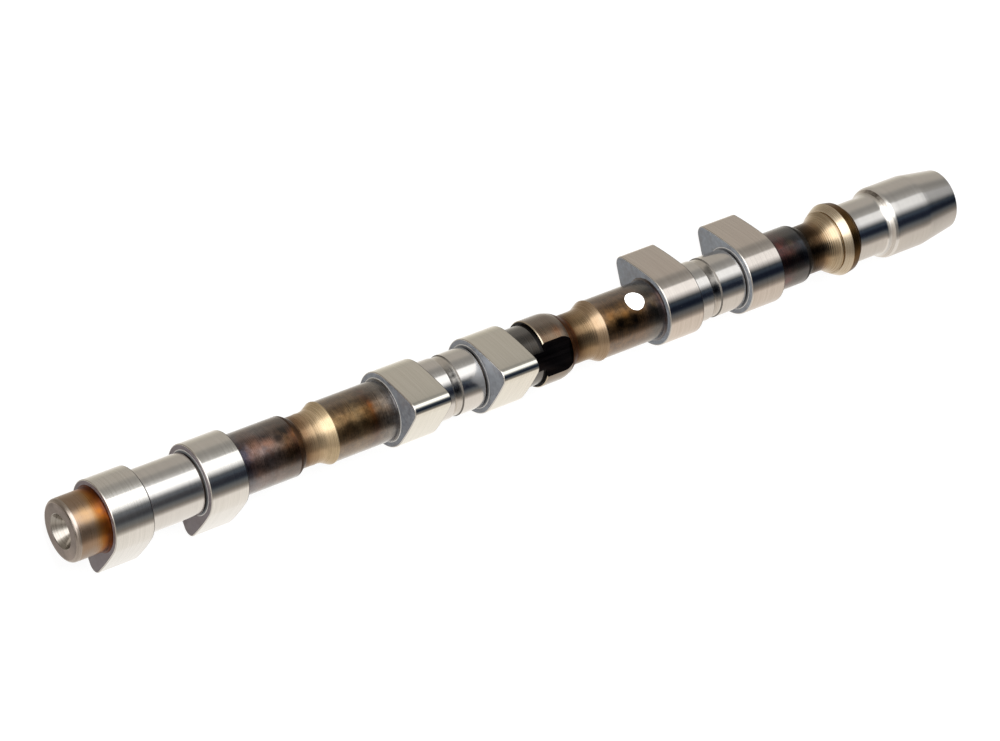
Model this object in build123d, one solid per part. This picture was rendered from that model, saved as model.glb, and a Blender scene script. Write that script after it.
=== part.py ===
from build123d import *
import math
import os

# Camshaft for one bank of three cylinders, in millimetres.
# While it is modelled, X runs along the shaft from the face of the end stub (x = 0) to the tapered nose.
# Angles about the shaft are in degrees from +Y towards +Z.

# Cam lobes
cylinder_pitch = 118.0
valve_spacing = 38.1
first_lobe_x = 13.2
lobe_width = 15.4
base_radius = 14.0
cam_lift = 8.5
tip_radius = 3.6
flank_radius = 132.0
lobe_chamfer = 0.5
pair_count = 3
first_pair_angle = 210.0
pair_angle_step = -120.0

# Bearing journals, one between the two lobes of each pair
journal_radius = 11.4
relief_width = 1.4
relief_depth = 1.0
relief_wall_width = 0.3
oil_groove_width = 4.1
oil_groove_depth = 0.5
oil_groove_wall_width = 0.4
middle_oil_groove_offset = 8.1
last_oil_groove_offset = 6.7

# End stub with its centre hole
stub_radius = 11.4
stub_chamfer = 1.0
centre_mouth_radius = 6.4
centre_half_angle = 30.0
centre_pilot_radius = 3.15
centre_pilot_length = 7.0

# Barrel sections and the turned necks between them; the barrel before a pair fills what is left of the gap
barrel_radius = 11.2
root_bevel = 0.8
first_barrel_length = 23.7
last_barrel_length = 14.4
shoulder_length = 2.8
neck_radius = 9.4
neck_length = 8.2
last_neck_length = 6.6
flare_length = 3.9
flare_lip_width = 0.2
flare_lip_height = 0.3

# Spanner collar
collar_stem_length = 10.2
collar_width = 8.1
collar_radius = 12.5
collar_back_length = 6.2
collar_back_radius = 10.3
collar_root_length = 1.6
across_flats = 21.4
flats_lead = 6.5
flats_length = 18.4
flats_angle = 100.6

# Cross hole in the barrel before the last pair
cross_hole_radius = 3.75
cross_hole_before_lobe = 10.3
cross_hole_angle = 54.0

# Thrust flange
flange_root_radius = 11.9
flange_sweep_length = 6.0
flange_groove_width = 0.6
flange_groove_depth = 0.3
flange_face_radius = 12.3
flange_face_length = 3.1
flange_radius = 14.0
flange_back_length = 3.1
flange_back_radius = 13.5
flange_bevel_length = 2.1

# Seal journal, sprocket seat and tapered nose
seal_journal_radius = 11.4
seal_journal_length = 12.9
seat_radius = 13.8
seat_length = 15.6
seat_root_length = 4.0
seat_lead_length = 1.3
seat_lead_drop = 0.5
taper_length = 15.2
taper_end_radius = 11.5
nose_chamfer = 0.4

# Threaded hole in the nose, drawn at the minor diameter of its M12 thread
thread_minor_radius = 5.1
thread_length = 28.0
thread_mouth_radius = 6.6
drill_point_angle = 59.0


def lobe_start(pair, side):
    """Distance from the stub's face to the near face of a lobe: side 0 or 1 of a pair."""
    return first_lobe_x + pair * cylinder_pitch + side * valve_spacing


def pair_end(pair):
    """Distance from the stub's face to the far face of a pair of lobes."""
    return lobe_start(pair, 1) + lobe_width


def pair_angle(pair):
    """Direction in which both noses of a pair point."""
    return first_pair_angle + pair * pair_angle_step


def collar_start():
    """Distance from the stub's face to the spanner collar, which stands behind the second pair."""
    return pair_end(1) + collar_stem_length


def flange_root():
    """Distance from the stub's face to the top of the flange's swept side."""
    barrel_end = pair_end(pair_count - 1) + last_barrel_length
    return barrel_end + shoulder_length + last_neck_length + flange_sweep_length


def seat_start():
    """Distance from the stub's face to the full radius of the sprocket seat."""
    flange_length = flange_groove_width + flange_face_length + flange_back_length + flange_bevel_length
    return flange_root() + flange_length + seal_journal_length + seat_root_length


def shaft_length():
    """Distance from the stub's face to the tip of the nose."""
    return seat_start() + seat_length + taper_length


class Contour:
    """Half outline of the turned shaft, walked from the stub to the nose as lines and arcs."""

    def __init__(self, x, radius):
        self.first = (x, radius)
        self.here = (x, radius)
        self.edges = []

    def line(self, x, radius):
        """Straight to a point."""
        if (x, radius) != self.here:
            self.edges.append(Line(self.here, (x, radius)))
            self.here = (x, radius)

    def arc(self, x, radius, slope_start):
        """Arc to a point, leaving in the direction of slope_start."""
        self.edges.append(TangentArc([self.here, (x, radius)], tangent=slope_start))
        self.here = (x, radius)

    def solid(self):
        """The outline closed along the axis and turned about it."""
        self.line(self.here[0], 0)
        self.line(self.first[0], 0)
        self.line(*self.first)
        return revolve(make_face(self.edges), Axis.X, 360)


def trace_oil_groove(outline, x):
    """A shallow groove round a journal, with sloping walls, from x onwards."""
    floor = journal_radius - oil_groove_depth
    outline.line(x, journal_radius)
    outline.line(x + oil_groove_wall_width, floor)
    outline.line(x + oil_groove_width - oil_groove_wall_width, floor)
    outline.line(x + oil_groove_width, journal_radius)


def trace_pair(outline, pair, radius_before, oil_groove_offset=None):
    """Root bevels outside a pair of lobes, their core, and the journal between them with its reliefs."""
    start = lobe_start(pair, 0)
    end = pair_end(pair)
    journal_start = start + lobe_width
    journal_end = end - lobe_width
    floor = journal_radius - relief_depth
    outline.line(start - root_bevel, radius_before)
    outline.line(start, radius_before + root_bevel)
    outline.line(start + lobe_width / 2, floor)
    outline.line(journal_start + relief_width - relief_wall_width, floor)
    outline.line(journal_start + relief_width, journal_radius)
    if oil_groove_offset:
        trace_oil_groove(outline, journal_start + oil_groove_offset)
    outline.line(journal_end - relief_width, journal_radius)
    outline.line(journal_end - relief_width + relief_wall_width, floor)
    outline.line(end - lobe_width / 2, floor)
    outline.line(end, barrel_radius + root_bevel)
    outline.line(end + root_bevel, barrel_radius)


def trace_barrel(outline, length):
    """A barrel section behind a pair of lobes, and the shoulder down to the neck."""
    barrel_end = outline.here[0] - root_bevel + length
    outline.line(barrel_end, barrel_radius)
    outline.line(barrel_end + shoulder_length, neck_radius)


def trace_neck(outline):
    """A neck, and the cone up to a lip that stands a little above the barrel behind it."""
    cone_start = outline.here[0] + neck_length
    lip_start = cone_start + flare_length
    lip_radius = barrel_radius + flare_lip_height
    outline.line(cone_start, neck_radius)
    outline.line(lip_start, lip_radius)
    outline.line(lip_start + flare_lip_width, lip_radius)
    outline.line(lip_start + flare_lip_width, barrel_radius)


def trace_collar(outline):
    """The spanner collar, and its rounded back down to the second neck."""
    collar_end = collar_start() + collar_width
    back_end = collar_end + collar_back_length
    outline.line(collar_start(), barrel_radius)
    outline.line(collar_start(), collar_radius)
    outline.line(collar_end, collar_radius)
    outline.arc(back_end, collar_back_radius, (1, 0))
    outline.line(back_end + collar_root_length, neck_radius)


def trace_flange(outline):
    """The swept side of the thrust flange, its groove, sloping face, back slope and root bevel."""
    root = flange_root()
    groove_end = root + flange_groove_width
    floor = flange_root_radius - flange_groove_depth
    face_end = groove_end + flange_face_length
    back_end = face_end + flange_back_length
    outline.line(root - flange_sweep_length, neck_radius)
    outline.arc(root, flange_root_radius, (1, 0))
    outline.line(root, floor)
    outline.line(groove_end, floor)
    outline.line(groove_end, flange_face_radius)
    outline.line(face_end, flange_radius)
    outline.line(back_end, flange_back_radius)
    outline.line(back_end + flange_bevel_length, seal_journal_radius)


def trace_nose(outline):
    """Seal journal, hollow root of the sprocket seat, the seat and the tapered nose."""
    start = seat_start()
    tip = shaft_length()
    slope = (seat_radius - taper_end_radius) / taper_length
    outline.line(start - seat_root_length, seal_journal_radius)
    outline.arc(start - seat_lead_length, seat_radius - seat_lead_drop, (1, 0))
    outline.line(start, seat_radius)
    outline.line(start + seat_length, seat_radius)
    outline.line(tip - nose_chamfer, taper_end_radius + nose_chamfer * slope)
    outline.line(tip, taper_end_radius - nose_chamfer)


def turned_shaft():
    """Everything that is turned about the axis, without the lobes' noses."""
    outline = Contour(0, stub_radius - stub_chamfer)
    outline.line(stub_chamfer, stub_radius)
    trace_pair(outline, 0, stub_radius)
    trace_barrel(outline, first_barrel_length)
    trace_neck(outline)
    trace_pair(outline, 1, barrel_radius, middle_oil_groove_offset)
    trace_collar(outline)
    trace_neck(outline)
    trace_pair(outline, 2, barrel_radius, last_oil_groove_offset)
    trace_barrel(outline, last_barrel_length)
    trace_flange(outline)
    trace_nose(outline)
    return outline.solid()


def lobe_outline():
    """Cam outline with its nose towards local +X: base arc, two crowned flanks and the tip arc."""
    tip_centre = base_radius + cam_lift - tip_radius
    base_reach = flank_radius - base_radius
    tip_reach = flank_radius - tip_radius
    flank_x = (tip_centre**2 - tip_reach**2 + base_reach**2) / (2 * tip_centre)
    flank_y = -math.sqrt(base_reach**2 - flank_x**2)
    base_angle = math.atan2(-flank_y, -flank_x)
    tip_angle = math.atan2(-flank_y, tip_centre - flank_x)
    middle_angle = (base_angle + tip_angle) / 2

    def on_arc(centre_x, centre_y, radius, angle):
        return (centre_x + radius * math.cos(angle), centre_y + radius * math.sin(angle))

    base_end = on_arc(0, 0, base_radius, base_angle)
    flank_middle = on_arc(flank_x, flank_y, flank_radius, middle_angle)
    tip_start = on_arc(tip_centre, 0, tip_radius, tip_angle)

    def mirrored(point):
        return (point[0], -point[1])

    return make_face(
        [
            ThreePointArc(mirrored(base_end), (-base_radius, 0), base_end),
            ThreePointArc(base_end, flank_middle, tip_start),
            ThreePointArc(tip_start, (base_radius + cam_lift, 0), mirrored(tip_start)),
            ThreePointArc(mirrored(tip_start), mirrored(flank_middle), mirrored(base_end)),
        ]
    )


def cam_lobe(pair, side):
    """One lobe, with its edges broken, in its place on the shaft."""
    blank = extrude(lobe_outline(), lobe_width)
    rims = blank.faces().filter_by(Axis.Z).edges()
    blank = chamfer(rims, lobe_chamfer)
    place = Plane.YZ.offset(lobe_start(pair, side)) * Rot(0, 0, pair_angle(pair))
    return place * blank


def spanner_flats():
    """The two blocks of metal that are milled away to leave the flats on the collar."""
    start = collar_start() - flats_lead
    height = collar_radius
    width = 4 * collar_radius
    cuts = []
    for side in (0, 180):
        block = Box(flats_length, height, width, align=(Align.MIN, Align.MIN, Align.CENTER))
        block = Pos(start, across_flats / 2, 0) * block
        cuts.append(Rot(flats_angle + side, 0, 0) * block)
    return cuts


def cross_hole():
    """The drill through the barrel beside the last pair of lobes."""
    x = lobe_start(pair_count - 1, 0) - cross_hole_before_lobe
    drill = Cylinder(cross_hole_radius, 4 * barrel_radius)
    return Pos(x, 0, 0) * Rot(cross_hole_angle, 0, 0) * Rot(90, 0, 0) * drill


def centre_hole():
    """Centre hole in the stub's face: a 60 degree mouth and a short pilot."""
    mouth_depth = (centre_mouth_radius - centre_pilot_radius) / math.tan(math.radians(centre_half_angle))
    outline = Contour(0, centre_mouth_radius)
    outline.line(mouth_depth, centre_pilot_radius)
    outline.line(mouth_depth + centre_pilot_length, centre_pilot_radius)
    return outline.solid()


def threaded_hole():
    """Blind hole for the sprocket bolt: countersunk mouth, thread bore and drill point."""
    mouth_depth = thread_mouth_radius - thread_minor_radius
    point = thread_minor_radius / math.tan(math.radians(drill_point_angle))
    tip = shaft_length()
    bottom = tip - thread_length
    outline = Contour(bottom - point, 0)
    outline.line(bottom, thread_minor_radius)
    outline.line(tip - mouth_depth, thread_minor_radius)
    outline.line(tip, thread_mouth_radius)
    return outline.solid()


def camshaft():
    """The whole shaft as one solid, lying with its lowest line on z = 0, centred over the origin."""
    shaft = turned_shaft()
    for cut in spanner_flats():
        shaft -= cut
    for pair in range(pair_count):
        for side in (0, 1):
            shaft += cam_lobe(pair, side)
    shaft -= cross_hole()
    shaft -= centre_hole()
    shaft -= threaded_hole()
    box = shaft.bounding_box()
    return Pos(-box.center().X, -box.center().Y, -box.min.Z) * shaft


os.makedirs("parts", exist_ok=True)
export_step(camshaft(), "parts/camshaft.step")
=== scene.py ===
import bpy
import math
from mathutils import Matrix, Vector


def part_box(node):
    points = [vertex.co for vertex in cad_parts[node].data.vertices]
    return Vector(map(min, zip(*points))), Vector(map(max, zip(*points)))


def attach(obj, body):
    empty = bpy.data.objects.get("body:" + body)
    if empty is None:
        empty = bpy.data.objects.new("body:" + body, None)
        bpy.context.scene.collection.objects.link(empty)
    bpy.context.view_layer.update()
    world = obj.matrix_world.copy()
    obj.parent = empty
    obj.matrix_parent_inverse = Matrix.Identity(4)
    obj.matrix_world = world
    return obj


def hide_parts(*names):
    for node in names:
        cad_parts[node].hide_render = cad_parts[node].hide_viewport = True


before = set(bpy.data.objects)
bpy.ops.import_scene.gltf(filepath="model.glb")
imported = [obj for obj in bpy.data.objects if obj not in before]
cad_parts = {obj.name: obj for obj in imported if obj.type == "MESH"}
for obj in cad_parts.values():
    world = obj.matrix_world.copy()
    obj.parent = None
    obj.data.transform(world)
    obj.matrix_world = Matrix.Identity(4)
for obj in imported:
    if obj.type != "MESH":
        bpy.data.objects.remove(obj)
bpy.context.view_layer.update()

# All sizes of the shaft are in millimetres, with x from the face of the end stub.
# Angles about the shaft are in degrees, from +Y towards +Z.
MM = 0.001
LENGTH = 389.1

# radii of the turned surfaces
STUB = 11.4
BARREL = 11.2
NECK = 9.4
JOURNAL = 11.4
RELIEF = JOURNAL - 1.0
COLLAR = 12.5
FLANGE = 13.97
SEAT = 13.8
NOSE = 11.5
CENTRE_HOLE = 3.15
NOSE_HOLE = 5.1
TAPER_LENGTH = 15.2
OIL_GROOVE_DEPTH = 0.4
THREAD_PITCH = 1.5
THREAD_DEPTH = 0.8

LOBE_STARTS = (13.2, 51.3, 131.2, 169.3, 249.2, 287.3)
LOBE_ANGLES = (210.0, 210.0, 90.0, 90.0, -30.0, -30.0)
LOBE_WIDTH = 15.4
LOBE_REACH = 22.49
BASE_RADIUS = 13.99
TIP_RADIUS = 3.6
FLANK_RADIUS = 132.0
LOBE_EDGE = 0.35
LOBE_FOOT = 9.0

FLAT_START = 188.4
FLAT_END = 206.8
FLAT_REACH = 10.7
FLAT_ANGLE = 100.6
CROSS_HOLE_X = 238.9
CROSS_HOLE_RADIUS = 3.75
CROSS_HOLE_ANGLE = 54.0

# the box reaches up to the noses that point straight up, and down to the lobes' base circles
lowest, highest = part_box("camshaft")
AXIS_Z = (lowest.z + highest.z - (LOBE_REACH - BASE_RADIUS) * MM) / 2

# faces round the shaft, and the angles from which an edge is sharp
SEGMENTS = 144
SHARP = 28
LOBE_SHARP = 35

# noise of the surfaces: tool lines, oxide patches and clouds
LINES = {"scale": 1.0, "detail": 3.0}
PATCHES = {"scale": 190.0, "detail": 6.0, "roughness": 0.65}
CLOUDS = {"scale": 420.0, "detail": 8.0, "roughness": 0.72}
LINE_DEPTH = 0.04
# how far the patches shift a colour's place along the shaft
WANDER = 3.0
FILM_ROUGHNESS = 0.2
WHITE = (1, 1, 1, 1)


def at(x, y, z):
    """The point x from the stub's face, and y and z from the axis, in the scene's metres."""
    return ((x - LENGTH / 2) * MM, y * MM, AXIS_Z + z * MM)


def place(x, radius, angle):
    """The point at a radius and at an angle, in radians, about the shaft."""
    return at(x, radius * math.cos(angle), radius * math.sin(angle))


def beside(x, out, side, angle):
    """The point that stands out from the axis towards an angle, and to the side of there."""
    turn = math.radians(angle)
    ca, sa = math.cos(turn), math.sin(turn)
    return at(x, out * ca - side * sa, out * sa + side * ca)


def arc_points(a, b, leaving, steps):
    """Points after a on the arc to b that leaves a in the direction of leaving."""
    length = math.hypot(*leaving)
    tx, ty = leaving[0] / length, leaving[1] / length
    dx, dy = b[0] - a[0], b[1] - a[1]
    nx, ny = -ty, tx
    across = dx * nx + dy * ny
    radius = (dx * dx + dy * dy) / (2 * across)
    cx, cy = a[0] + nx * radius, a[1] + ny * radius
    start = math.atan2(a[1] - cy, a[0] - cx)
    turn = 2 * math.atan2(across, dx * tx + dy * ty)
    return [
        (cx + abs(radius) * math.cos(start + turn * i / steps),
         cy + abs(radius) * math.sin(start + turn * i / steps))
        for i in range(1, steps + 1)
    ]


class Outline:
    """Half outline of the turned shaft: points (x, radius, thread depth), and the zone of each stretch."""

    def __init__(self, x, radius):
        self.points = [(x, radius, 0.0)]
        self.zones = []

    def add(self, x, radius, zone, depth=0.0):
        self.points.append((x, radius, depth))
        self.zones.append(zone)

    def to(self, x, radius, zone, steps=1):
        """Straight line to a point."""
        x0, r0, _ = self.points[-1]
        for i in range(1, steps + 1):
            t = i / steps
            self.add(x0 + (x - x0) * t, r0 + (radius - r0) * t, zone)

    def arc(self, x, radius, zone, leaving, steps=10):
        """Arc to a point that leaves the last one in the direction of leaving."""
        for px, pr in arc_points(self.points[-1][:2], (x, radius), leaving, steps):
            self.add(px, pr, zone)

    def arc_into(self, x, radius, zone, arriving, steps=10):
        """Arc to a point that arrives there in the direction of arriving."""
        back = arc_points((x, radius), self.points[-1][:2], (-arriving[0], -arriving[1]), steps)
        for px, pr in reversed(back[:-1]):
            self.add(px, pr, zone)
        self.add(x, radius, zone)

    def rings(self, first, pitch, depth, start):
        """Cuts tool rings, beyond x = first, into the points from number start on."""
        for i in range(start, len(self.points)):
            x, r, _ = self.points[i]
            if x > first:
                self.points[i] = (x, r - depth * abs(math.sin(math.pi * (x - first) / pitch)), 0.0)

    def thread(self, x, zone, depth, steps_a_turn=6):
        """A threaded wall from the last point back to x, cut outwards from its radius."""
        x0, radius, _ = self.points[-1]
        steps = round(abs(x - x0) / THREAD_PITCH * steps_a_turn)
        for i in range(1, steps + 1):
            self.add(x0 + (x - x0) * i / steps, radius, zone, depth if i < steps else 0.0)


def trace_stub(line):
    """Centre hole, countersink and face of the stub."""
    line.to(12.6, CENTRE_HOLE, "bore")
    line.to(5.63, CENTRE_HOLE, "bore", 3)
    line.to(0.15, 6.31, "countersink", 6)
    line.to(0.0, 6.55, "countersink")
    line.to(0.0, 10.2, "end_face", 4)
    line.arc_into(1.6, STUB, "stub_chamfer", (1, 0), 10)


def trace_groove(line, x):
    """An oil groove round a journal, from its first edge at x."""
    bottom = JOURNAL - OIL_GROOVE_DEPTH
    line.to(x, JOURNAL, "ground", 4)
    line.to(x + 0.3, bottom + 0.08, "groove")
    line.to(x + 0.5, bottom, "groove")
    line.to(x + 3.6, bottom, "groove", 3)
    line.to(x + 3.8, bottom + 0.08, "groove_wall")
    line.to(x + 4.1, JOURNAL, "groove_wall")


def trace_pair(line, pair, radius_before, zone_before, zone_after, rim_before, groove=None):
    """Everything turned between the outer faces of a pair of lobes, and the fillets outside them.

    The lobes hide what is under them, so the outline only dips there to the reliefs beside the journal.
    rim_before: zone of the strip that runs up the first lobe's face.
    groove: how far from the first lobe the journal's oil groove starts.
    """
    start = LOBE_STARTS[2 * pair]
    left = start + LOBE_WIDTH
    right = LOBE_STARTS[2 * pair + 1]
    end = right + LOBE_WIDTH
    line.to(start - 0.8, radius_before, zone_before, 6)
    line.arc(start - 0.15, radius_before + 0.5, zone_before, (1, 0), 5)
    line.to(start + 0.05, radius_before + 0.9, rim_before)
    line.to(start + 7, RELIEF, "relief")
    line.to(left + 0.7, RELIEF, "relief")
    line.arc(left + 0.95, RELIEF + 0.25, "relief", (1, 0), 3)
    line.to(left + 1.1, JOURNAL - 0.15, "relief")
    line.to(left + 1.25, JOURNAL, "ground")
    if groove:
        trace_groove(line, left + groove)
    line.to(right - 1.25, JOURNAL, "ground", 6)
    line.to(right - 1.1, JOURNAL - 0.15, "ground")
    line.to(right - 0.95, RELIEF + 0.25, "relief")
    line.arc_into(right - 0.7, RELIEF, "relief", (1, 0), 3)
    line.to(right - 0.3, RELIEF, "relief")
    line.arc(right - 0.15, RELIEF + 0.35, "relief", (1, 0), 3)
    line.to(right - 0.12, JOURNAL + 0.35, "rim_side")
    line.to(right + 0.06, JOURNAL + 0.75, "rim")
    line.to(right + 1.0, RELIEF, "relief")
    line.to(end - 7, RELIEF, "relief")
    line.to(end - 0.05, BARREL + 0.85, "relief")
    line.arc_into(end + 0.8, BARREL, zone_after, (1, 0), 6)


def trace_shoulder(line, barrel_end, fall_end, neck_start, zone, neck):
    """The rounded end of a barrel and its fall to a neck."""
    line.arc(barrel_end, BARREL - 0.3, zone, (1, 0), 5)
    line.to(fall_end, NECK + 0.4, zone, 2)
    line.arc_into(neck_start, NECK, neck, (1, 0), 5)


def trace_flare(line, end_x, zone, pitch, depth):
    """A neck's last rings, its cone and the lip that stands above the barrel behind it."""
    lip = end_x - 0.2
    first = len(line.points)
    line.to(lip - 6.6, NECK, zone, 8)
    line.arc(lip - 3.3, NECK + 0.42, zone, (1, 0), 20)
    line.to(lip - 0.3, BARREL + 0.17, zone, 26)
    line.rings(lip - 7.6, pitch, depth, first)
    line.arc_into(lip, BARREL + 0.3, zone, (1, 0.1), 4)
    line.to(end_x, BARREL + 0.28, zone)
    line.to(end_x + 0.1, BARREL, zone)


def trace_collar(line):
    """The spanner collar, from the stem before it to the second neck."""
    line.to(193.7, BARREL, "stem", 4)
    line.to(194.9, BARREL, "collar_root")
    line.to(194.9, COLLAR - 0.3, "collar_root")
    line.to(195.25, COLLAR, "collar_edge")
    line.to(202.7, COLLAR, "collar", 6)
    line.arc(206.6, 11.75, "collar", (1, 0), 10)
    line.arc(207.6, 11.35, "collar_back", (1, -0.3), 4)
    line.to(209.2, 10.3, "collar_back", 4)
    line.arc_into(210.9, NECK, "collar_back", (1, -0.1), 6)


def trace_flange(line):
    """The third neck with its tool rings, and the thrust flange that it sweeps out into."""
    first = len(line.points)
    line.to(326.0, NECK, "neck_3", 40)
    line.arc(332.2, 11.85, "neck_3", (1, 0), 60)
    line.rings(321.0, 0.8, 0.05, first)
    line.arc(332.5, 11.9, "neck_3", (1, 0.25), 3)
    line.to(332.6, 11.6, "neck_3")
    line.to(333.0, 11.6, "neck_3")
    line.to(333.1, 12.3, "flange")
    line.arc(336.1, FLANGE, "flange", (1, 0.66), 12)
    line.arc_into(336.5, FLANGE, "flange_back", (1, -0.15), 4)
    line.to(339.1, 13.53, "flange_back", 5)
    line.arc(339.5, 13.3, "flange_back", (1, -0.17), 4)
    line.to(340.6, 12.1, "flange_back", 3)
    line.arc_into(341.6, JOURNAL, "flange_back", (1, 0), 6)


def trace_nose(line):
    """Seal journal, sprocket seat, taper and the threaded hole in the nose."""
    line.to(354.3, JOURNAL, "ground", 6)
    line.arc(356.0, 12.24, "ground", (1, 0), 8)
    line.arc(357.0, 13.3, "seat_root", (1, 0.8), 8)
    line.to(357.15, 13.36, "seat_root")
    line.to(358.2, 13.76, "ground", 2)
    line.to(358.5, SEAT, "ground")
    line.to(373.7, SEAT, "ground", 6)
    slope = (SEAT - NOSE) / TAPER_LENGTH
    line.to(374.1, SEAT - 0.2 * slope, "ground")
    line.to(380.9, SEAT - 7.0 * slope, "ground", 4)
    line.to(388.8, NOSE + 0.3 * slope, "ground", 4)
    line.to(LENGTH, NOSE - 0.3, "ground")
    line.to(LENGTH, 6.85, "end_face", 4)
    line.to(388.95, 6.6, "countersink")
    line.to(387.65, 5.2, "countersink", 2)
    line.to(387.5, NOSE_HOLE, "bore")
    line.thread(361.1, "bore", THREAD_DEPTH)
    line.to(358.04, 0.0, "bore")


def turned_outline():
    line = Outline(12.6, 0.0)
    trace_stub(line)
    trace_pair(line, 0, STUB, "stub", "barrel_a", rim_before="stub")
    line.to(89.9, BARREL, "barrel_a", 6)
    trace_shoulder(line, 91.0, 92.6, 93.7, "shoulder_1", "neck_1")
    line.to(96.6, NECK, "neck_1", 4)
    line.arc(98.2, NECK + 0.12, "neck_1", (1, 0), 6)
    line.to(98.3, NECK, "neck_1")
    trace_flare(line, 105.5, "neck_1", 0.8, 0.012)
    trace_pair(line, 1, BARREL, "barrel_b", "stem", rim_before="rim", groove=8.1)
    trace_collar(line)
    line.to(214.9, NECK, "neck_2", 4)
    trace_flare(line, 223.1, "neck_2", 0.86, 0.03)
    trace_pair(line, 2, BARREL, "barrel_d", "barrel_e", rim_before="barrel_d", groove=6.7)
    line.to(316.6, BARREL, "barrel_e", 6)
    trace_shoulder(line, 317.8, 319.4, 320.6, "shoulder_3", "neck_3")
    trace_flange(line)
    trace_nose(line)
    return line


def add_mesh(name, vertices, faces, slots, materials, sharp=SHARP):
    mesh = bpy.data.meshes.new(name)
    mesh.from_pydata(vertices, [], faces)
    for material in materials:
        mesh.materials.append(material)
    mesh.polygons.foreach_set("material_index", slots)
    mesh.polygons.foreach_set("use_smooth", [True] * len(faces))
    mesh.update()
    mesh.set_sharp_from_angle(angle=math.radians(sharp))
    piece = bpy.data.objects.new(name, mesh)
    bpy.context.scene.collection.objects.link(piece)
    return piece


def band(a, b):
    """Faces between two rings of vertices, either of which may be a single point."""
    count = max(len(a), len(b))
    faces = []
    for s in range(count):
        t = (s + 1) % count
        if len(a) == 1:
            faces.append((a[0], b[t], b[s]))
        elif len(b) == 1:
            faces.append((a[s], a[t], b[0]))
        else:
            faces.append((a[s], a[t], b[t], b[s]))
    return faces


def lathe(name, outline, materials):
    """Turns an outline about the axis; each zone of it takes the material of that name."""
    zones = list(materials)
    vertices = []
    rings = []
    for x, radius, depth in outline.points:
        count = SEGMENTS if radius > 0 else 1
        rings.append(range(len(vertices), len(vertices) + count))
        for s in range(count):
            # the thread is a vee groove over four fifths of its pitch
            turn = (x / THREAD_PITCH + s / SEGMENTS) % 1.0
            cut_in = depth * max(0.0, 1.0 - abs(2.0 * turn - 1.0) * 1.25)
            vertices.append(place(x, radius + cut_in, 2 * math.pi * s / SEGMENTS))
    faces = []
    slots = []
    for a, b, zone in zip(rings, rings[1:], outline.zones):
        faces += band(a, b)
        slots += [zones.index(zone)] * SEGMENTS
    return add_mesh(name, vertices, faces, slots, list(materials.values()))


def lobe_section(steps_base=72, steps_flank=28, steps_tip=20):
    """Points and outward normals round a lobe, with its nose towards angle 0."""
    tip = LOBE_REACH - TIP_RADIUS
    base_reach = FLANK_RADIUS - BASE_RADIUS
    tip_reach = FLANK_RADIUS - TIP_RADIUS
    # centre of the arc of the flank at positive angles, which touches the base circle and the nose
    fx = (tip**2 - tip_reach**2 + base_reach**2) / (2 * tip)
    fy = -math.sqrt(base_reach**2 - fx**2)
    base_angle = math.atan2(-fy, -fx)
    tip_angle = math.atan2(-fy, tip - fx)
    points = []

    def sweep(cx, cy, radius, start, end, steps):
        for i in range(steps):
            a = start + (end - start) * i / steps
            normal = (math.cos(a), math.sin(a))
            points.append(((cx + radius * normal[0], cy + radius * normal[1]), normal))

    sweep(tip, 0, TIP_RADIUS, -tip_angle, tip_angle, steps_tip)
    sweep(fx, fy, FLANK_RADIUS, tip_angle, base_angle, steps_flank)
    sweep(0, 0, BASE_RADIUS, base_angle, 2 * math.pi - base_angle, steps_base)
    sweep(fx, -fy, FLANK_RADIUS, -base_angle, -tip_angle, steps_flank)
    return points


def lobe_profile(steps_edge=4, steps_face=6):
    """Rings across a lobe, as (x from its near side, inset from its section), and the slots between them.

    The first and last ring have no inset: they are the feet of the sides, under the shaft's surface.
    The slots are 0 for the face, 1 for the sides, 2 for the near edge and 3 for the far edge.
    """
    near = [(0.0, None)]
    for i in range(steps_edge + 1):
        a = math.pi / 2 * i / steps_edge
        near.append((LOBE_EDGE - LOBE_EDGE * math.cos(a), LOBE_EDGE - LOBE_EDGE * math.sin(a)))
    # a narrow strip beside each rounded edge keeps the shading of the wide face flat
    hold = LOBE_EDGE + 0.08
    face = [(hold + (LOBE_WIDTH - 2 * hold) * i / steps_face, 0.0) for i in range(steps_face + 1)]
    far = [(LOBE_WIDTH - x, inset) for x, inset in reversed(near)]
    slots = [1] + [2] * steps_edge + [0] * (steps_face + 2) + [3] * steps_edge + [1]
    return near + face + far, slots


def lobe(name, start, angle, materials):
    """One cam lobe with rounded edges; its side faces run in under the shaft's surface."""
    section = lobe_section()
    profile, strip_slots = lobe_profile()
    count = len(section)
    vertices = []
    rings = []
    for x, inset in profile:
        rings.append(range(len(vertices), len(vertices) + count))
        for (px, py), (nx, ny) in section:
            if inset is None:
                reach = math.hypot(px, py)
                out, side = px / reach * LOBE_FOOT, py / reach * LOBE_FOOT
            else:
                out, side = px - nx * inset, py - ny * inset
            vertices.append(beside(start + x, out, side, angle))
    faces = []
    slots = []
    for a, b, slot in zip(rings, rings[1:], strip_slots):
        faces += band(a, b)
        slots += [slot] * count
    return add_mesh(name, vertices, faces, slots, materials, LOBE_SHARP)


def cut(piece, name, tool, material):
    """Cuts a closed shape out of a piece; the walls of the cut take the material."""
    vertices, faces = tool
    cutter = add_mesh(name, vertices, faces, [0] * len(faces), [material])
    modifier = piece.modifiers.new(name, "BOOLEAN")
    modifier.operation = "DIFFERENCE"
    modifier.solver = "EXACT"
    modifier.object = cutter
    modifier.material_mode = "TRANSFER"
    graph = bpy.context.evaluated_depsgraph_get()
    mesh = bpy.data.meshes.new_from_object(piece.evaluated_get(graph))
    piece.modifiers.clear()
    uncut = piece.data
    piece.data = mesh
    bpy.data.meshes.remove(uncut)
    bpy.data.objects.remove(cutter)
    mesh.set_sharp_from_angle(angle=math.radians(SHARP))


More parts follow.
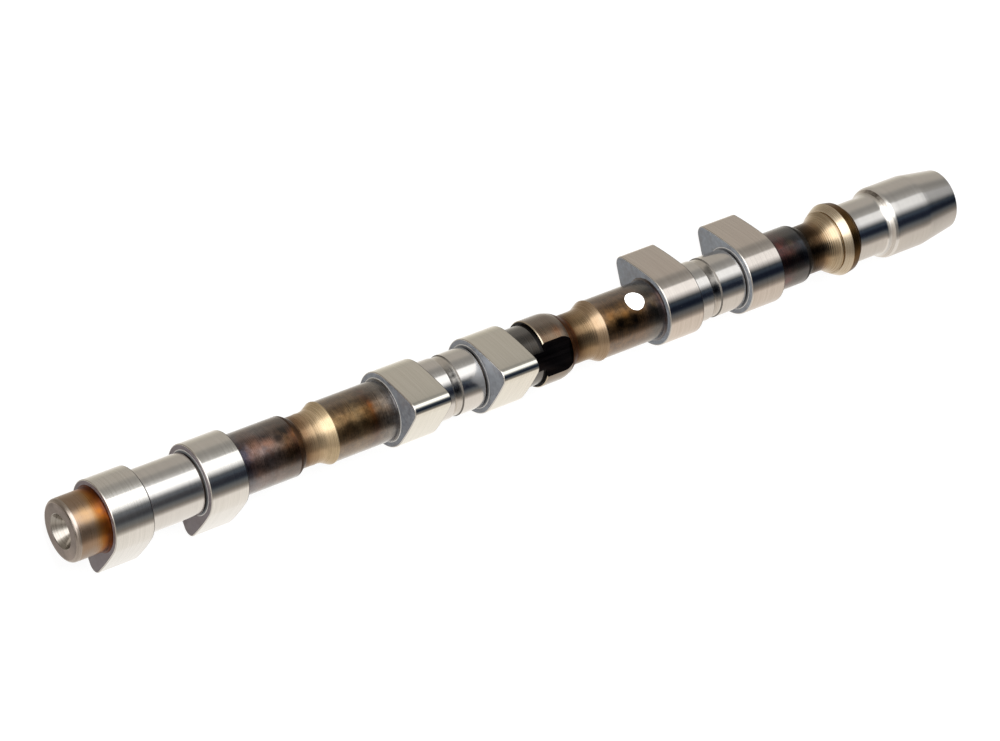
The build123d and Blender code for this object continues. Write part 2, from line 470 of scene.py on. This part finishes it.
def block(x0, x1, near, far, half_width, angle):
    """Corners and faces of a block that stands off the axis, in the direction of angle."""
    vertices = []
    for x in (x0, x1):
        for out, side in ((near, -half_width), (far, -half_width), (far, half_width), (near, half_width)):
            vertices.append(beside(x, out, side, angle))
    faces = [(3, 2, 1, 0), (4, 5, 6, 7), (0, 1, 5, 4), (1, 2, 6, 5), (2, 3, 7, 6), (3, 0, 4, 7)]
    return vertices, faces


def drill(x, radius, reach, angle, sides=64):
    """Corners and faces of a drill that goes across the shaft in the direction of angle."""
    vertices = []
    for out in (-reach, reach):
        for s in range(sides):
            a = 2 * math.pi * s / sides
            vertices.append(beside(x + radius * math.cos(a), out, radius * math.sin(a), angle))
    faces = [tuple(range(sides)), tuple(reversed(range(sides, 2 * sides)))]
    for s in range(sides):
        t = (s + 1) % sides
        faces.append((s, s + sides, t + sides, t))
    return vertices, faces


def linear(colour):
    """A colour written as an sRGB hex string, in linear light."""
    channels = [int(colour[i:i + 2], 16) / 255 for i in (0, 2, 4)]
    return [c / 12.92 if c <= 0.04045 else ((c + 0.055) / 1.055) ** 2.4 for c in channels] + [1.0]


class NodeTree:
    """The nodes of a material or world. An input takes a value, or the output that it is linked to."""

    def __init__(self, owner):
        owner.use_nodes = True
        self.nodes = owner.node_tree.nodes
        self.links = owner.node_tree.links

    def feed(self, node, inputs):
        for name, value in inputs.items():
            if isinstance(value, bpy.types.NodeSocket):
                self.links.new(value, node.inputs[name])
            else:
                node.inputs[name].default_value = value

    def add(self, kind, inputs, **settings):
        """Adds a node and returns its outputs."""
        node = self.nodes.new("ShaderNode" + kind)
        for name, value in settings.items():
            setattr(node, name, value)
        self.feed(node, inputs)
        return node.outputs

    def noise(self, vector, scale, detail, roughness=0.5):
        inputs = {"Vector": vector, "Scale": scale, "Detail": detail, "Roughness": roughness}
        return self.add("TexNoise", inputs)["Fac"]

    def calculate(self, operation, *values, use_clamp=False):
        inputs = dict(enumerate(values))
        return self.add("Math", inputs, operation=operation, use_clamp=use_clamp)["Value"]

    def stretch(self, value, low, high, to_low=0.0, to_high=1.0):
        """The range from low to high stretched to that from to_low to to_high, and held at its ends."""
        inputs = {"Value": value, "From Min": low, "From Max": high, "To Min": to_low, "To Max": to_high}
        return self.add("MapRange", inputs)["Result"]

    def mix(self, a, b, factor=1.0, blend_type="MIX"):
        inputs = {"Factor": factor, "A": a, "B": b}
        return self.add("Mix", inputs, data_type="RGBA", blend_type=blend_type)["Result"]

    def ramp(self, value, stops, ends=None):
        """The colour at a value, from stops (position, colour).

        ends: the values at the first and last stop, where they aren't the positions themselves.
        """
        first, last = stops[0][0], stops[-1][0]
        low, high = ends or (first, last)
        node = self.nodes.new("ShaderNodeValToRGB")
        elements = node.color_ramp.elements
        while len(elements) < len(stops):
            elements.new(0.5)
        for element, (position, colour) in zip(elements, stops):
            element.position = (position - first) / (last - first)
            element.color = (*colour[:3], 1)
        self.feed(node, {"Fac": self.stretch(value, low, high)})
        return node.outputs["Color"]


def steel(name, colour, dark, rough, metallic=1.0, spread_along=0.8, streak=0.25, bump=0.1,
          line_scale=3600.0, radial=False, along=(), clouds=0.0, stain=None, spots=(), film=None, glow=0.0):
    """Steel with fine tool lines round the shaft, uneven oxide tint and uneven gloss, and in some zones
    painted highlights, painted shade and painted reflections.

    colour, dark: the tint on and between the tool lines, as sRGB hex strings.
    spread_along: how much further reflections blur along the shaft than round it.
    streak, bump: how much the gloss and the surface vary from line to line.
    radial: the surface stands across the axis and has no lines round it.
    along: colours (x, colour) along the shaft, by which the tint is multiplied.
    clouds: the share by which thicker and thinner oxide darkens and lightens the tint.
    stain: colour and amount of stains all over.
    spots: colour laid in set places, as (x, angle about the shaft, size, colour, amount): stains in some
    zones, and painted highlights, painted shade and painted reflections in others.
    film: refractive index of an oxide film.
    glow: light of its own, a painted glow for a surface that is no lamp.
    """
    material = bpy.data.materials.new(name)
    tree = NodeTree(material)
    where = tree.add("TexCoord", {})["Object"]
    line_scales = (20, 700, 700) if radial else (line_scale, 45, 45)
    drawn_out = tree.add("Mapping", {"Vector": where, "Scale": line_scales})["Vector"]
    lines = tree.noise(drawn_out, **LINES)
    patches = tree.noise(where, **PATCHES)

    tint = tree.mix(linear(dark), linear(colour), tree.stretch(lines, 0.35, 0.65))
    if along:
        x = tree.add("SeparateXYZ", {"Vector": where})["X"]
        wandering = tree.calculate("MULTIPLY_ADD", patches, WANDER * MM, x)
        ends = [(end - LENGTH / 2 + WANDER / 2) * MM for end in (along[0][0], along[-1][0])]
        oxide = tree.ramp(wandering, [(position, linear(shade)) for position, shade in along], ends)
        tint = tree.mix(oxide, tint, 1.0, "MULTIPLY")
    if clouds:
        thickness = tree.stretch(tree.noise(where, **CLOUDS), 0.32, 0.68, 1.0 - clouds, 1.0 + clouds)
        tint = tree.add("VectorMath", {0: tint, "Scale": thickness}, operation="SCALE")["Vector"]
    if stain:
        stain_colour, stain_amount = stain
        cover = tree.stretch(patches, 0.48, 0.66, 0.0, stain_amount)
        tint = tree.mix(tint, linear(stain_colour), cover)
    # spots lay colour in set places: stains, and in some zones painted highlights, painted shade and painted
    # dark reflections
    for spot_x, angle, size, spot_colour, amount in spots:
        centre = place(spot_x, BARREL, math.radians(angle))
        away = tree.add("VectorMath", {0: where, 1: centre}, operation="DISTANCE")["Value"]
        ragged = tree.calculate("MULTIPLY_ADD", patches, 2.6 * size * MM, away)
        cover = tree.stretch(ragged, 1.4 * size * MM, 2.5 * size * MM, amount, 0.0)
        tint = tree.mix(tint, linear(spot_colour), cover)

    gloss = tree.stretch(lines, 0.3, 0.7, rough * (1 - streak), rough * (1 + streak))
    normal = tree.add("Bump", {"Strength": bump, "Distance": LINE_DEPTH * MM, "Height": lines})["Normal"]
    shader = tree.nodes["Principled BSDF"]
    tree.feed(shader, {"Base Color": tint, "Metallic": metallic, "Roughness": gloss, "Normal": normal})
    if not radial:
        # the tool lines run round the shaft, so reflections blur along it
        axis = tree.add("CombineXYZ", {"X": 1.0})["Vector"]
        tree.feed(shader, {"Anisotropic": spread_along, "Tangent": axis})
    if film:
        # the oxide film turns glossy where it is seen at a flat angle
        flat_angle = tree.add("LayerWeight", {"Blend": 0.5})["Facing"]
        weight = tree.stretch(flat_angle, 0.15, 0.38)
        tree.feed(shader, {"Coat Weight": weight, "Coat Roughness": FILM_ROUGHNESS, "Coat IOR": film})
    # painted light: the surface glows white of its own, though it is no lamp
    if glow:
        tree.feed(shader, {"Emission Color": WHITE, "Emission Strength": glow})
    return material


# what the oxidised barrels share
OXIDE = dict(colour="FFFFFF", rough=0.32, clouds=0.55, film=2.1)

# the steel of each zone of the shaft
STEELS = {
    "bore": dict(colour="6A6058", dark="4A423C", rough=0.35, stain=("6A4A34", 0.4)),
    "countersink": dict(colour="B8B2AA", dark="A29C94", rough=0.19, spread_along=0.0, bump=0.05),
    "end_face": dict(
        colour="A0948D", dark="8C817A", rough=0.42, stain=("746A64", 0.5), radial=True,
        spots=[(0.0, 165, 5.5, "B8AAA0", 0.7), (0.0, 10, 3.0, "B0A49C", 0.5)]),
    "stub_chamfer": dict(colour="BCB0A6", dark="ACA096", rough=0.2, spread_along=0.0),
    "stub": dict(
        colour="FFFFFF", dark="EEE8E2", rough=0.33, streak=0.2, stain=("8E7060", 0.2),
        along=[(1.0, "AE9A88"), (7.0, "B0967E"), (8.8, "B0885C"), (9.8, "AC743A"), (11.0, "9C5C24"),
               (12.2, "7E441A"), (13.2, "522614")],
        # the spots at 62 and 68 degrees are painted highlights, gold and orange where the stub shows the
        # soft box; the grey spot at 142 degrees makes the lower side greyer
        spots=[(5.5, 62, 3.5, "C8A070", 0.6), (10.8, 68, 1.6, "B8702C", 0.6),
               (5.0, 142, 4.0, "A0948A", 0.6)]),
    "ground": dict(
        colour="E7E4E0", dark="DFDCD8", rough=0.17, streak=0.2, bump=0.04, line_scale=5000,
        spread_along=0.6),
    "groove": dict(
        colour="DCD8D2", dark="CEC9C2", rough=0.22, stain=("C0B8AE", 0.3), spread_along=0.4,
        # the spots are painted reflections on each oil groove's floor: dark grey where the journal shows the
        # soft box's highlight, near black where it shows the dark band
        spots=[(156.8, 66, 3.8, "4A4846", 1.0), (156.8, 95, 2.8, "0C0C10", 0.9),
               (273.2, 62, 3.8, "5E5A56", 1.0), (273.2, 90, 2.8, "0C0C10", 0.9)]),
    # near white and half diffuse: a painted highlight, the thin bright line of the rim at a lobe's face
    "rim": dict(colour="F2F0EC", dark="E4E2DE", rough=0.35, metallic=0.5, spread_along=0.0),
    "rim_side": dict(colour="A0A2A6", dark="909296", rough=0.5, metallic=0.35, spread_along=0.0),
    # darker than the journal: painted shade that keeps the groove's far wall from showing a bright line
    "groove_wall": dict(colour="8C8781", dark="7E7973", rough=0.5, metallic=0.8, spread_along=0.0),
    "seat_root": dict(
        colour="EAE4DC", dark="DAD2CA", rough=0.3, spread_along=0.6,
        # the spot is painted shade: a dark brown crescent on the upper side of the seat's root
        spots=[(356.6, 22, 6.0, "3A2E26", 1.0)]),
    # dark: painted shade in the narrow recesses beside the lobes
    "relief": dict(colour="5A544E", dark="46403C", rough=0.4),
    "barrel_a": dict(
        OXIDE, dark="DCD6D6", stain=("6E4630", 0.35),
        along=[(66.7, "4C4A56"), (69.5, "54505A"), (73.0, "7C6860"), (77.5, "665C5A"), (82.0, "6A5A50"),
               (86.0, "554230"), (90.0, "50382A"), (93.0, "3E2614")],
        # the orange spot at 90.2 mm and 58 degrees is a painted highlight near the shoulder; the spots at
        # 130 and 138 degrees tint the lower side
        spots=[(74.6, 50, 3.2, "946A54", 0.7), (79.5, 62, 2.2, "8A6450", 0.6),
               (83.6, 60, 2.0, "201A18", 0.8), (86.8, 46, 1.8, "2A2420", 0.7),
               (90.2, 58, 1.9, "8A5A30", 0.6), (72.0, 130, 3.0, "6C6C74", 0.5),
               (81.0, 138, 3.0, "8A7468", 0.5)]),
    "neck_1": dict(
        colour="FFFFFF", dark="EAE6E0", rough=0.3, metallic=0.75, spread_along=0.5, stain=("9A8468", 0.25),
        # lighter towards the cone: partly oxide tint, partly a painted highlight raised where the cone's
        # highlight falls
        along=[(92.0, "5E442C"), (94.5, "8E7052"), (96.5, "AC9070"), (99.0, "BEA482"), (102.0, "DAC29E"),
               (105.5, "D6C09C")]),
    "barrel_b": dict(
        OXIDE, dark="E0DAD2", stain=("86643C", 0.25),
        along=[(105.5, "8A7252"), (110.0, "765E42"), (115.0, "7E684A"), (119.0, "6C5234"),
               (121.6, "5C3A20"), (123.4, "6A5848"), (127.0, "787068"), (131.2, "5A5A5E")],
        # the near black spots at 84 and 86 degrees are painted dark reflections, laid where the barrel
        # reflects the dark band of the room
        spots=[(111.0, 84, 2.6, "1C160E", 0.6), (117.0, 86, 2.0, "2A2014", 0.6),
               (121.8, 60, 1.2, "8A5022", 0.4), (113.0, 138, 4.0, "8E7658", 0.5)]),
    "stem": dict(colour="48443F", dark="3A3734", rough=0.3, stain=("4A3E34", 0.4), film=2.1),
    "collar_edge": dict(colour="D8CBB6", dark="C8BAA4", rough=0.3),
    "collar": dict(
        colour="84715E", dark="726250", rough=0.32, stain=("6E4E34", 0.4), film=2.0,
        # both spots are painted highlights, orange brown where the collar shows the soft box
        spots=[(202.5, 56, 2.6, "8A5A34", 0.7), (198.0, 60, 2.0, "7E6048", 0.5)]),
    "collar_back": dict(colour="5A351A", dark="482A14", rough=0.36, metallic=0.8, stain=("8E5C2C", 0.5)),
    # near black: painted shade on the collar's face towards the stem
    "collar_root": dict(colour="2E2C2C", dark="262424", rough=0.4),
    "shoulder_1": dict(colour="442D1B", dark="362314", rough=0.42, metallic=0.7, stain=("6A441F", 0.5)),
    "shoulder_3": dict(colour="26221F", dark="1E1A18", rough=0.42, metallic=0.7),
    "flat": dict(colour="2A2628", dark="242022", rough=0.3, stain=("34261F", 0.3), radial=True),
    "neck_2": dict(
        colour="FFFFFF", dark="EAE6E0", rough=0.26, metallic=0.88, spread_along=0.5,
        stain=("8A7050", 0.25),
        along=[(210.9, "5E4428"), (212.5, "80664A"), (214.5, "9A8060"), (217.0, "A68C6C"),
               (223.1, "BAA288")]),
    "barrel_d": dict(
        OXIDE, dark="DED8D0", stain=("7A5A34", 0.25),
        along=[(223.1, "8E7050"), (226.0, "785A38"), (232.0, "745632"), (239.0, "725538"),
               (242.0, "645242"), (245.0, "4A4640"), (249.2, "42393E")],
        # the near black spots at 78 to 86 degrees are painted dark reflections, laid where the barrel
        # reflects the dark band of the room
        spots=[(226.4, 62, 2.2, "8A5E2C", 0.6), (229.5, 84, 3.2, "080604", 0.9),
               (236.0, 86, 3.2, "0A0806", 0.9), (232.5, 70, 1.6, "7C5428", 0.5),
               (243.8, 78, 2.6, "0C0C10", 0.7)]),
    "barrel_e": dict(
        colour="FFFFFF", dark="DCD8D6", rough=0.3, clouds=0.55, stain=("5A2A22", 0.35), film=2.0,
        along=[(302.7, "40282A"), (307.0, "543430"), (311.0, "38302A"), (315.0, "2C3036"),
               (318.5, "22242A"), (320.6, "282018")],
        # the near black spots at 82 and 84 degrees are painted dark reflections, laid where the barrel
        # reflects the dark band of the room
        spots=[(306.0, 52, 1.9, "7A3A30", 0.8), (308.6, 40, 1.6, "6A3430", 0.6),
               (311.5, 56, 1.6, "5C4A36", 0.6), (306.5, 130, 2.0, "6E3430", 0.7),
               (307.5, 84, 2.8, "060405", 0.8), (313.5, 82, 2.6, "040408", 0.8)]),
    "neck_3": dict(
        colour="FFFFFF", dark="E4E0D8", rough=0.24, spread_along=0.5, stain=("7A6248", 0.25),
        along=[(320.0, "3A2E22"), (322.5, "4E3C2A"), (325.0, "6C5640"), (327.0, "A48A6C"),
               (329.0, "BEA98C"), (332.5, "C8B69C")],
        # both spots are painted dark reflections, laid where the neck reflects the dark band of the room
        spots=[(321.5, 80, 3.0, "080606", 0.8), (324.5, 84, 2.2, "120C0A", 0.7)]),
    "flange": dict(colour="D4C5AF", dark="C8B89F", rough=0.24, spread_along=0.4, stain=("B09A7C", 0.25)),
    "flange_back": dict(colour="70532F", dark="5E4526", rough=0.3, stain=("866638", 0.4)),
}
materials = {zone: steel(zone + "_steel", **look) for zone, look in STEELS.items()}
# the cross hole's wall is painted white and glows of its own: painted light that makes the hole look bright,
# not bare steel
hole_glow_paint = steel("hole_glow_paint", "FFFFFF", "F6F4F0", 0.5, metallic=0.0, spread_along=0.0, glow=0.6)


def lobe_steels(row, colour, dark, side, side_dark):
    """The steels of a lobe's face, sides, near edge and far edge."""
    return [
        steel(f"lobe_steel_{row}", colour, dark, 0.13, streak=0.15, bump=0.02, line_scale=3200,
              spread_along=0.6),
        steel(f"lobe_side_steel_{row}", side, side_dark, 0.5, metallic=0.35, stain=("7E716E", 0.35),
              radial=True),
        steel(f"lobe_edge_steel_{row}", "E8E4DE", "D4CFC8", 0.2, spread_along=0.0),
        # the far edge is dark: painted shade on the edge that faces away from the light
        steel(f"lobe_back_edge_steel_{row}", "5A5552", "4C4846", 0.3, spread_along=0.0),
    ]


lobe_materials = [
    lobe_steels("a", "EAE7E2", "E2DFD9", "A0979B", "91888C"),
    lobe_steels("b", "EEEBE2", "E6E3D9", "AFB4BB", "9CA1AA"),
    lobe_steels("c", "E6DED6", "DDD4CC", "B4BAC2", "A2A8B0"),
]

# the part: the shaft with its two flats and cross hole, and its lobes
shaft = lathe("shaft", turned_outline(), materials)
for angle in (FLAT_ANGLE, FLAT_ANGLE + 180):
    mill = block(FLAT_START, FLAT_END, near=FLAT_REACH, far=16.0, half_width=14.0, angle=angle)
    cut(shaft, "spanner_flat", mill, materials["flat"])
cross_drill = drill(CROSS_HOLE_X, CROSS_HOLE_RADIUS, reach=15.0, angle=CROSS_HOLE_ANGLE)
cut(shaft, "cross_hole", cross_drill, hole_glow_paint)
pieces = [shaft]
for i, (start, angle) in enumerate(zip(LOBE_STARTS, LOBE_ANGLES)):
    pieces.append(lobe(f"lobe_{i + 1}", start, angle, lobe_materials[i // 2]))
for piece in pieces:
    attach(piece, "root")
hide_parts("camshaft")

# strength of the tunnel's light, of which its colour ramps give shares
GLOW = 3.0
# light that the surroundings send to the shaft: angle about it in degrees, and linear colour
ROOM = [
    (-180, (0.93, 0.885, 0.83)), (-150, (0.96, 0.92, 0.87)), (-134, (1.00, 0.97, 0.93)),
    (-120, (1.10, 1.08, 1.05)), (-100, (1.15, 1.13, 1.10)), (-84, (1.00, 0.97, 0.92)),
    (-70, (0.74, 0.70, 0.63)), (-56, (0.58, 0.54, 0.47)), (-40, (0.46, 0.43, 0.385)),
    (-20, (0.47, 0.435, 0.39)), (-5, (0.45, 0.42, 0.38)), (4, (0.34, 0.325, 0.30)),
    (14, (0.29, 0.28, 0.265)), (24, (0.33, 0.32, 0.30)), (33, (0.40, 0.39, 0.37)),
    (66, (0.30, 0.30, 0.31)), (78, (0.17, 0.175, 0.18)), (86, (0.045, 0.055, 0.07)),
    (95, (0.03, 0.045, 0.07)), (102, (0.008, 0.012, 0.025)), (112, (0.006, 0.010, 0.022)),
    (118, (0.035, 0.045, 0.06)), (123, (0.10, 0.11, 0.12)), (130, (0.145, 0.145, 0.145)),
    (138, (0.21, 0.19, 0.17)), (143, (0.34, 0.31, 0.28)), (148, (0.54, 0.50, 0.46)),
    (151, (0.72, 0.67, 0.62)), (154, (0.90, 0.85, 0.80)), (180, (0.93, 0.885, 0.83)),
]
# the same as surfaces see it that lean towards the stub's end
FRONT = [
    (-180, (0.72, 0.69, 0.65)), (-110, (0.80, 0.77, 0.73)), (-90, (0.75, 0.71, 0.66)),
    (-70, (0.44, 0.41, 0.36)), (-50, (0.33, 0.30, 0.26)), (-10, (0.34, 0.31, 0.27)),
    (10, (0.50, 0.47, 0.42)), (26, (0.95, 0.92, 0.86)), (36, (2.8, 2.8, 2.8)), (76, (2.8, 2.8, 2.8)),
    (90, (0.85, 0.82, 0.78)), (108, (0.40, 0.38, 0.35)), (135, (0.36, 0.33, 0.30)),
    (152, (0.66, 0.62, 0.57)), (180, (0.72, 0.69, 0.65)),
]
# and as bevels see it that lean towards it by half a right angle or more
BEVEL_FRONT = [
    (-180, (0.60, 0.57, 0.53)), (-120, (0.60, 0.57, 0.53)), (-80, (0.30, 0.27, 0.24)),
    (-15, (0.20, 0.18, 0.16)), (3, (0.6, 0.57, 0.53)), (18, (2.2, 2.2, 2.2)), (92, (2.2, 2.2, 2.2)),
    (106, (1.0, 0.98, 0.95)), (128, (0.60, 0.57, 0.53)), (180, (0.60, 0.57, 0.53)),
]
# shares of the soft box and of the floor in that light, by angle
SOFT_BOX = [(-180, 0), (37.5, 0), (41.5, 1), (65, 1), (74, 0.5), (80, 0.18), (87, 0.0), (180, 0)]
FLOOR_SIDE = [(-180, 1), (-110, 1), (-70, 0), (138, 0), (150, 1), (180, 1)]
# how all that changes along the tunnel, by x in metres
SOFT_BOX_LEVELS = [
    (0.0, 1.6), (0.3, 1.5), (0.56, 1.38), (0.69, 1.15), (0.77, 1.06), (1.2, 0.62), (2.0, 0.35), (3.0, 0.2),
]
FLOOR_LEVELS = [
    (0.3, (1.0, 1.0, 1.0)), (0.56, (0.98, 0.97, 0.95)), (0.66, (0.90, 0.85, 0.80)),
    (0.77, (0.77, 0.74, 0.71)), (1.3, (0.68, 0.66, 0.64)), (1.9, (0.2, 0.2, 0.2)),
]
END_LEVELS = [
    (-6.0, 0.2), (-3.2, 0.3), (-2.0, 1.0), (1.35, 1.0), (1.9, 0.35), (3.0, 0.12), (9.0, 0.08),
]
FRONT_SHARE = [(-0.2, 1.0), (0.35, 0.0)]
BEVEL_SHARE = [(-1.15, 1.0), (-0.75, 0.0)]

# the studio, in metres
TUNNEL_ENDS = (-6.0, 9.0)
TUNNEL_RADIUS = 1.0
FLOOR_REACH = 6
FLOOR_COLOUR = (0.25, 0.25, 0.25, 1)
FLOOR_GLOW = 0.88
SKY_STRENGTH = 0.55
LAMP_PLACE = (0.1, 0.8, 1.3)
LAMP_SIZE = 1.2
LAMP_POWER = 14

# the photo's camera: sensor and lens in millimetres, place from the middle of the stub's face, and axes
CAMERA_SENSOR = 36
CAMERA_LENS = 154.807
CAMERA_REACH = 50
CAMERA_PLACE = (-0.594156, 0.276886, 1.291465)
CAMERA_RIGHT = Vector((0.80593897, -0.24747133, 0.53779207))
CAMERA_DOWN = Vector((-0.30640259, -0.95166463, 0.02125743))
CAMERA_AHEAD = Vector((0.50653709, -0.18191307, -0.84280947))


def greys(stops):
    """Stops of plain numbers as stops of greys."""
    return [(position, (level, level, level)) for position, level in stops]


def in_glow(stops):
    """Stops of light as shares of the tunnel's strength."""
    return [(position, [c / GLOW for c in light]) for position, light in stops]


def surroundings():
    """The light of the room as the polished steel sees it, painted on the inside of a tunnel."""
    material = bpy.data.materials.new("surroundings")
    tree = NodeTree(material)
    tree.nodes.clear()
    where = tree.add("SeparateXYZ", {"Vector": tree.add("TexCoord", {})["Object"]})
    height = tree.calculate("SUBTRACT", where["Z"], AXIS_Z)
    angle = tree.calculate("ARCTAN2", height, where["Y"])

    def by_angle(stops):
        return tree.ramp(angle, stops, (-math.pi, math.pi))

    def by_x(stops):
        return tree.ramp(where["X"], stops)

    light = tree.mix(by_angle(in_glow(ROOM)), by_x(FLOOR_LEVELS), by_angle(greys(FLOOR_SIDE)), "MULTIPLY")
    light = tree.mix(light, by_x(in_glow(greys(SOFT_BOX_LEVELS))), by_angle(greys(SOFT_BOX)))
    light = tree.mix(light, by_angle(in_glow(FRONT)), by_x(greys(FRONT_SHARE)))
    light = tree.mix(light, by_angle(in_glow(BEVEL_FRONT)), by_x(greys(BEVEL_SHARE)))
    light = tree.mix(light, by_x(greys(END_LEVELS)), 1.0, "MULTIPLY")
    glow = tree.add("Emission", {"Color": light, "Strength": GLOW})["Emission"]
    tree.add("OutputMaterial", {"Surface": glow})
    return material


def add_tunnel(sides=72):
    """A tunnel round the shaft that only reflections see."""
    corners = []
    for x in TUNNEL_ENDS:
        for s in range(sides):
            a = 2 * math.pi * s / sides
            corners.append((x, TUNNEL_RADIUS * math.cos(a), AXIS_Z + TUNNEL_RADIUS * math.sin(a)))
    faces = band(range(sides), range(sides, 2 * sides))
    piece = add_mesh("studio_tunnel", corners, faces, [0] * sides, [surroundings()])
    for ray in ("camera", "diffuse", "transmission", "volume_scatter", "shadow"):
        setattr(piece, "visible_" + ray, False)


def add_floor():
    """A plain floor that takes shadows, and is almost white to the camera."""
    paint = bpy.data.materials.new("floor_paint")
    tree = NodeTree(paint)
    camera_ray = tree.add("LightPath", {})["Is Camera Ray"]
    tree.feed(tree.nodes["Principled BSDF"], {
        "Base Color": FLOOR_COLOUR,
        "Roughness": 0.9,
        "Specular IOR Level": 0.0,
        "Emission Color": WHITE,
        "Emission Strength": tree.calculate("MULTIPLY", camera_ray, FLOOR_GLOW),
    })
    r = FLOOR_REACH
    floor = add_mesh("floor", [(-r, -r, 0), (r, -r, 0), (r, r, 0), (-r, r, 0)], [(0, 1, 2, 3)], [0], [paint])
    floor.visible_glossy = False


def add_sky():
    """Soft light from all round, and white where the camera or a reflection sees it."""
    world = bpy.data.worlds.new("studio")
    bpy.context.scene.world = world
    tree = NodeTree(world)
    path = tree.add("LightPath", {})
    seen = tree.calculate("ADD", path["Is Camera Ray"], path["Is Glossy Ray"], use_clamp=True)
    strength = tree.stretch(seen, 0.0, 1.0, SKY_STRENGTH, 1.0)
    tree.feed(tree.nodes["Background"], {"Color": WHITE, "Strength": strength})


def add_lamp():
    """A large lamp that points at the middle of the shaft."""
    data = bpy.data.lights.new("key_light", "AREA")
    data.shape = "RECTANGLE"
    data.size = LAMP_SIZE
    data.size_y = LAMP_SIZE
    data.energy = LAMP_POWER
    lamp = bpy.data.objects.new("key_light", data)
    lamp.location = LAMP_PLACE
    lamp.rotation_euler = (-lamp.location).to_track_quat("-Z", "Y").to_euler()
    lamp.visible_glossy = False
    bpy.context.scene.collection.objects.link(lamp)


def add_camera():
    data = bpy.data.cameras.new("photo_camera")
    data.sensor_width = CAMERA_SENSOR
    data.lens = CAMERA_LENS
    data.clip_end = CAMERA_REACH
    camera = bpy.data.objects.new("photo_camera", data)
    x, y, z = CAMERA_PLACE
    turn = Matrix((CAMERA_RIGHT, -CAMERA_DOWN, -CAMERA_AHEAD)).transposed().to_4x4()
    camera.matrix_world = Matrix.Translation((x - LENGTH / 2 * MM, y, z + AXIS_Z)) @ turn
    bpy.context.scene.collection.objects.link(camera)
    bpy.context.scene.camera = camera


add_tunnel()
add_floor()
add_sky()
add_lamp()
add_camera()
bpy.context.scene.view_settings.view_transform = "Standard"
